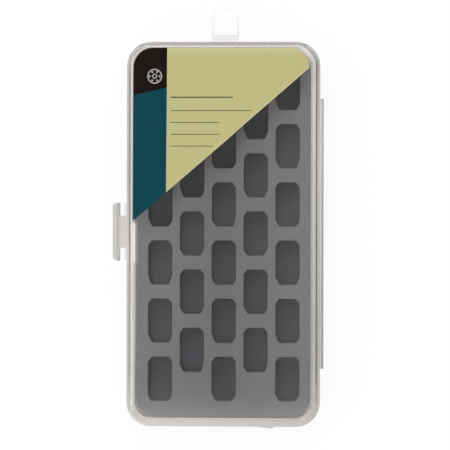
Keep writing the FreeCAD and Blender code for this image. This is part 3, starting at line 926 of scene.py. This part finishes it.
def pocket_outline(centre, shape, grow):
    corners, sway = shape
    half_x, half_y = POCKET_HALF_WIDTH + grow, POCKET_HALF_LENGTH + grow
    outline = []
    for sx, sy, cut_x, cut_y, radius in corners:
        side = (sx * half_x, sy * (half_y - cut_y), radius)
        end = (sx * (half_x - cut_x) + sy * sway, sy * half_y, radius)
        outline += [side, end] if sx == sy else [end, side]
    return [centre + point for point, _ in rounded_path(outline, POCKET_CORNER_STEPS, closed=True)]


def pocket_centres():
    for column, rows in enumerate(ROWS_PER_COLUMN):
        x = (column - (len(ROWS_PER_COLUMN) - 1) / 2) * COLUMN_PITCH
        for row in range(rows):
            yield POCKETS_SHIFT + Vector((x, (row - (rows - 1) / 2) * ROW_PITCH))


def foam_outline(inset=0.0):
    outline = rounded_rectangle(FOAM_HALF_WIDTH - inset, FOAM_HALF_LENGTH - inset,
                                FOAM_CORNER_RADIUS - inset)
    return [FOAM_SHIFT + p for p in outline]


def foam_grid():
    """The die-cut foam: walls a little pinched at mid height, and soft edges on top."""
    bm = bmesh.new()
    rim, middle = FOAM_TOP_ROUNDING, FOAM_TOP_ROUNDING * FOAM_ROUNDING_MIDDLE
    soft_edge = [(0.0, GRID_HIGH_Z - rim), (middle, GRID_HIGH_Z - middle), (rim, GRID_HIGH_Z)]
    waist_z = (GRID_LOW_Z + GRID_HIGH_Z) / 2
    tops, bottoms = [], []
    wobble = random.Random(POCKETS_SEED)
    for centre in pocket_centres():
        shape = pocket_shape(wobble)
        levels = [(0.0, GRID_LOW_Z), (-POCKET_WAIST, waist_z), *soft_edge]
        rings = [add_ring(bm, pocket_outline(centre, shape, grow), z) for grow, z in levels]
        for ring, following in zip(rings, rings[1:]):
            bridge(bm, ring, following)
        bottoms.append(rings[0])
        tops.append(rings[-1])
    rings = [add_ring(bm, foam_outline(inset), z) for inset, z in [(0.0, GRID_LOW_Z), *soft_edge]]
    for ring, following in zip(rings, rings[1:]):
        bridge(bm, ring, following)
    bottoms.append(rings[0])
    tops.append(rings[-1])
    fill_between(bm, tops)
    fill_between(bm, bottoms)
    piece = finish_mesh(bm, "foam_grid_cut", FOAM_SMOOTH_DEG)
    weigh_normals(piece)
    paint(piece, foam)
    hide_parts("foam_grid")
    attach(piece, "base")


def foam_floor():
    bm = bmesh.new()
    rings = [add_ring(bm, foam_outline(), z) for z in (PLATE, GRID_LOW_Z)]
    bridge(bm, *rings)
    for ring in rings:
        bm.faces.new(ring)
    piece = finish_mesh(bm, "foam_floor_sheet")
    paint(piece, foam_floor_look)
    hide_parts("foam_backing")
    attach(piece, "base")


def card_sheet():
    paint(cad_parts["printed_card"], card)


def folding_strip(name, node, section, along, look, end_look, made):
    """A thin web across a joint, with its own look at its ends.

    Its section lists (a, z) points across the fold, there on one face and back on the other. It is swept
    along the fold from low to high.
    """
    axis, low, high = along
    half = len(section) // 2
    bm = bmesh.new()
    layer = bm.verts.layers.float_color.new("look")
    rings = []
    for level in (low, high):
        ring = []
        for i, (a, z) in enumerate(section):
            point = (a, level, z) if axis == "Y" else (level, a, z)
            v = bm.verts.new(Vector(point) * MM)
            across = min(i, len(section) - 1 - i)
            from_end = min(across, half - 1 - across)
            set_look(v, layer, end_look.lerp(look, min(1.0, from_end / CREASE_STEPS)))
            ring.append(v)
        rings.append(ring)
    bridge(bm, *rings)
    for ring in rings:
        for i in range(half - 1):
            bm.faces.new((ring[i], ring[i + 1], ring[-i - 2], ring[-i - 1]))
    piece = finish_mesh(bm, name)
    paint(piece, made)
    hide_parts(node)
    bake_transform(piece)


def webs():
    leaf_end = HALF_WIDTH + HINGE_LEAF_REACH
    inner, outer = PARTING_GAP / 2, PARTING_GAP / 2 + HINGE_FOLD_THICKNESS
    turns = [math.pi * (i / WEB_STEPS - 0.5) for i in range(WEB_STEPS + 1)]
    outside = [(leaf_end + outer * math.cos(t), PARTING_Z + outer * math.sin(t)) for t in turns]
    inside = [(leaf_end + inner * math.cos(t), PARTING_Z + inner * math.sin(t)) for t in reversed(turns)]
    folding_strip("lid_hinge_fold", "lid_hinge_web", outside + inside,
                  ("Y", *HINGE_ENDS_Y),
                  WEB_LOOK, WEB_LOOK, clear)

    def flat(start, end, levels):
        across = [start + (end - start) * i / WEB_STEPS for i in range(WEB_STEPS + 1)]
        return [(a, levels[0]) for a in across] + [(a, levels[1]) for a in reversed(across)]

    start = -(HALF_WIDTH + LATCH_STUB_REACH)
    end = start - LATCH_FOLD_WIDTH
    folding_strip("latch_fold", "latch_hinge_web", flat(start, end, LATCH_FOLD_Z),
                  ("Y", *ARM_ENDS_Y),
                  ARM_LOOK, CREASE_LOOK, clear)
    start = HALF_LENGTH + LOOP_STUB_REACH
    end = start + LOOP_FOLD_WIDTH
    folding_strip("hang_loop_fold", "hang_loop_web", flat(start, end, LOOP_FOLD_Z),
                  ("X", LOOP_CENTRE_X - LOOP_HALF_WIDTH, LOOP_CENTRE_X + LOOP_HALF_WIDTH),
                  LOOP_LOOK, LOOP_LOOK,
                  clear_thin)


def latch():
    """The finger plate, curved outward below its knee, with its arm, hook and bead."""
    inner = -(HALF_WIDTH + FINGER_PLATE_GAP)
    rooted = inner - FINGER_PLATE_THICKNESS / 2
    low, top = FINGER_PLATE_Z
    start, end = LATCH_CENTRE_Y - FINGER_PLATE_HALF_LENGTH, LATCH_CENTRE_Y + FINGER_PLATE_HALF_LENGTH
    outline = rounded_path([(end, top, FINGER_PLATE_TOP_RADIUS), (start, top, FINGER_PLATE_TOP_RADIUS),
                            (start, low, FINGER_PLATE_LOW_RADII[0]), (end, low, FINGER_PLATE_LOW_RADII[1])],
                           PROFILE_STEPS, closed=True)
    bm = bmesh.new()
    rings = []
    for x in (inner, inner - FINGER_PLATE_THICKNESS):
        rings.append([bm.verts.new(Vector((x, y, z)) * MM) for (y, z), _ in outline])
    bridge(bm, *rings)
    for ring in rings:
        bm.faces.new(ring)
    ease_edges(bm, sharp_edges(bm, SQUARE_EDGE_DEG), FREE_EDGE_ROUNDING, LATCH_LOOK, LATCH_EDGE_LOOK)
    drop = FINGER_PLATE_KNEE_Z - low
    for i in range(FLARE_STEPS):
        level = low + drop * (i + 0.5) / FLARE_STEPS
        cut_through(bm, Vector((0, 0, level)), Vector((0, 0, 1)))
    for v in bm.verts:
        below = max(0.0, (FINGER_PLATE_KNEE_Z - v.co.z / MM) / drop)
        v.co.x -= FINGER_PLATE_FLARE * MM * below ** 2
    piece = finish_mesh(bm, "latch_finger_plate")
    arm_start = -(HALF_WIDTH + LATCH_STUB_REACH + LATCH_FOLD_WIDTH)
    arm = block("arm", (rooted, ARM_ENDS_Y[0], ARM_Z[0]), (arm_start, ARM_ENDS_Y[1], ARM_Z[1]), ARM_LOOK,
                ARM_EDGE_LOOK)
    tip = -(HALF_WIDTH + HOOK_TIP_GAP)
    hook_low = HOOK_TOP_Z - HOOK_THICKNESS
    hook = prism_along("hook", [(rooted, HOOK_TOP_Z), (tip, HOOK_TOP_Z), (tip, HOOK_NOSE_Z),
                                (tip - HOOK_THICKNESS, hook_low), (rooted, hook_low)],
                       "Y", *ARM_ENDS_Y, ARM_LOOK, ARM_EDGE_LOOK)
    bead_low, bead_high = BEAD_Z
    bead = prism_along("bead", [(rooted, bead_low), (inner, bead_low),
                                (inner + BEAD_DEPTH, (bead_low + bead_high) / 2),
                                (inner, bead_high), (rooted, bead_high)],
                       "Y", LATCH_CENTRE_Y - BEAD_HALF_LENGTH, LATCH_CENTRE_Y + BEAD_HALF_LENGTH, ARM_LOOK,
                       ARM_LOOK)
    unite(piece, [arm, hook, bead])
    weigh_normals(piece)
    paint(piece, clear)
    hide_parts("latch_plate")
    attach(piece, "latch")


def loop_rectangle(half_x, start, end, radius, start_radius):
    """A rectangle about the loop's middle, whose corners at start and end differ in radius."""
    left, right = LOOP_CENTRE_X - half_x, LOOP_CENTRE_X + half_x
    corners = [(right, end, radius), (left, end, radius),
               (left, start, start_radius), (right, start, start_radius)]
    return [point for point, _ in rounded_path(corners, LOOP_CORNER_STEPS, closed=True)]


def hang_loop():
    """The flat frame beyond the fold, with its window."""
    start = HALF_LENGTH + LOOP_STUB_REACH + LOOP_FOLD_WIDTH
    outer = loop_rectangle(LOOP_HALF_WIDTH, start, LOOP_TIP_Y, LOOP_TIP_RADIUS, LOOP_START_RADIUS)
    inner = loop_rectangle(LOOP_HALF_WIDTH - LOOP_BAR, start + LOOP_FOLD_BAR, LOOP_TIP_Y - LOOP_BAR,
                           LOOP_WINDOW_RADIUS, LOOP_WINDOW_RADIUS)
    bm = bmesh.new()
    rims = []
    for path in (outer, inner):
        rims.append([add_ring(bm, path, z) for z in LOOP_Z])
        bridge(bm, *rims[-1])
    for level in (0, 1):
        fill_between(bm, [rim[level] for rim in rims])
    ease_edges(bm, sharp_edges(bm, SQUARE_EDGE_DEG), FREE_EDGE_ROUNDING, LOOP_LOOK, LOOP_EDGE_LOOK)
    # The edges of the window and of the tip stay clear
    layer = bm.verts.layers.float_color["look"]
    for v in bm.verts:
        x, y = v.co.x / MM, v.co.y / MM
        beside_window = abs(x - LOOP_CENTRE_X) >= LOOP_HALF_WIDTH - LOOP_BAR / 2
        at_window = not beside_window and y > start + LOOP_FOLD_BAR / 2
        if at_window or y > LOOP_TIP_Y - LOOP_PLAIN_TIP:
            set_look(v, layer, LOOP_LOOK)
    piece = finish_mesh(bm, "hang_loop_frame")
    weigh_normals(piece)
    paint(piece, clear_thin)
    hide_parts("hang_loop")
    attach(piece, "hang_loop")


# The plain studio: the floor's half width in metres, its colour, how white it is seen, and the strength of
# the white light all round. Overhead, between two heights of the direction, what is mirrored gets dark.
FLOOR_SIZE = 3
FLOOR_COLOUR = (0.85, 0.85, 0.85, 1)
FLOOR_WHITENESS = 0.88
SKY_STRENGTH = 0.75
OVERHEAD = (0.95, 0.99)
OVERHEAD_STRENGTH = 0.02
# The lamps' places and sizes in metres, and their power in watts. All of them point at the box.
LAMPS = {
    "left": ((-0.9, 0.0, 0.75), (1.0, 1.0), 5.3),
    "back": ((0.0, 0.85, 0.85), (1.0, 0.8), 4.3),
    "front": ((0.0, -0.9, 0.75), (1.0, 0.8), 2.2),
}
# The camera over the box: its focal length in pixels of the square frame, its sensor's width, the place
# that it looks at and its distance from there, in millimetres, and its tilt
FRAME_PIXELS = 450
FOCAL_PIXELS = 1545.2
SENSOR_WIDTH = 36
CAMERA_TARGET = (0.783, 4.088, 15.5)
CAMERA_DISTANCE = 700
CAMERA_TILT_DEG = (0.313, 1.584, 0.103)
CLIP_DISTANCES = (10, 20000)


def studio_floor():
    bm = bmesh.new()
    bmesh.ops.create_grid(bm, x_segments=1, y_segments=1, size=FLOOR_SIZE)
    floor = finish_mesh(bm, "floor")
    made = material("floor_white")
    n = Nodes(made)
    path = n.add("ShaderNodeLightPath").outputs
    seen = n.math("MAXIMUM", path["Is Camera Ray"], path["Is Glossy Ray"])
    seen = n.math("MAXIMUM", seen, path["Is Transmission Ray"])
    matt = n.add("ShaderNodeBsdfDiffuse", {"Color": FLOOR_COLOUR}).outputs[0]
    white = n.add("ShaderNodeEmission", {"Color": WHITE, "Strength": 1.0}).outputs[0]
    n.output(n.mix_shaders(n.math("MULTIPLY", seen, FLOOR_WHITENESS), matt, white))
    paint(floor, made)


def studio_world():
    world = bpy.data.worlds.new("studio")
    bpy.context.scene.world = world
    world.use_nodes = True
    world.node_tree.nodes.clear()
    n = Nodes(world)

    def light(strength):
        return n.add("ShaderNodeBackground", {"Color": WHITE, "Strength": strength}).outputs[0]

    upward = n.parts(n.add("ShaderNodeTexCoord").outputs["Generated"])[2]
    mirrored = light(n.ramp(upward, *OVERHEAD, SKY_STRENGTH, OVERHEAD_STRENGTH, soft=True))
    path = n.add("ShaderNodeLightPath").outputs
    lit = n.mix_shaders(path["Is Glossy Ray"], light(SKY_STRENGTH), mirrored)
    n.add("ShaderNodeOutputWorld", {"Surface": n.mix_shaders(path["Is Camera Ray"], lit, light(1.0))})


def studio_lamps():
    for name, (place, size, power) in LAMPS.items():
        light = bpy.data.lights.new(name, "AREA")
        light.shape = "RECTANGLE"
        light.size, light.size_y = size
        light.energy = power
        body = bpy.data.objects.new(name, light)
        body.location = place
        body.rotation_euler = (-Vector(place)).to_track_quat("-Z", "Y").to_euler()
        bpy.context.collection.objects.link(body)


def camera():
    data = bpy.data.cameras.new("camera")
    data.sensor_width = SENSOR_WIDTH
    data.lens = FOCAL_PIXELS / FRAME_PIXELS * SENSOR_WIDTH
    data.clip_start, data.clip_end = [distance * MM for distance in CLIP_DISTANCES]
    tilt = Matrix.Identity(3)
    for angle, axis in zip(CAMERA_TILT_DEG, "XYZ"):
        tilt = tilt @ Matrix.Rotation(math.radians(angle), 3, axis)
    place = Vector(CAMERA_TARGET) * MM + tilt @ Vector((0, 0, CAMERA_DISTANCE * MM))
    body = bpy.data.objects.new("camera", data)
    body.matrix_world = Matrix.Translation(place) @ tilt.to_4x4()
    bpy.context.collection.objects.link(body)
    bpy.context.scene.camera = body


lid_shell()
base_shell()
foam_grid()
foam_floor()
card_sheet()
webs()
latch()
hang_loop()
studio_floor()
studio_world()
studio_lamps()
camera()
bpy.context.scene.view_settings.view_transform = "Standard"
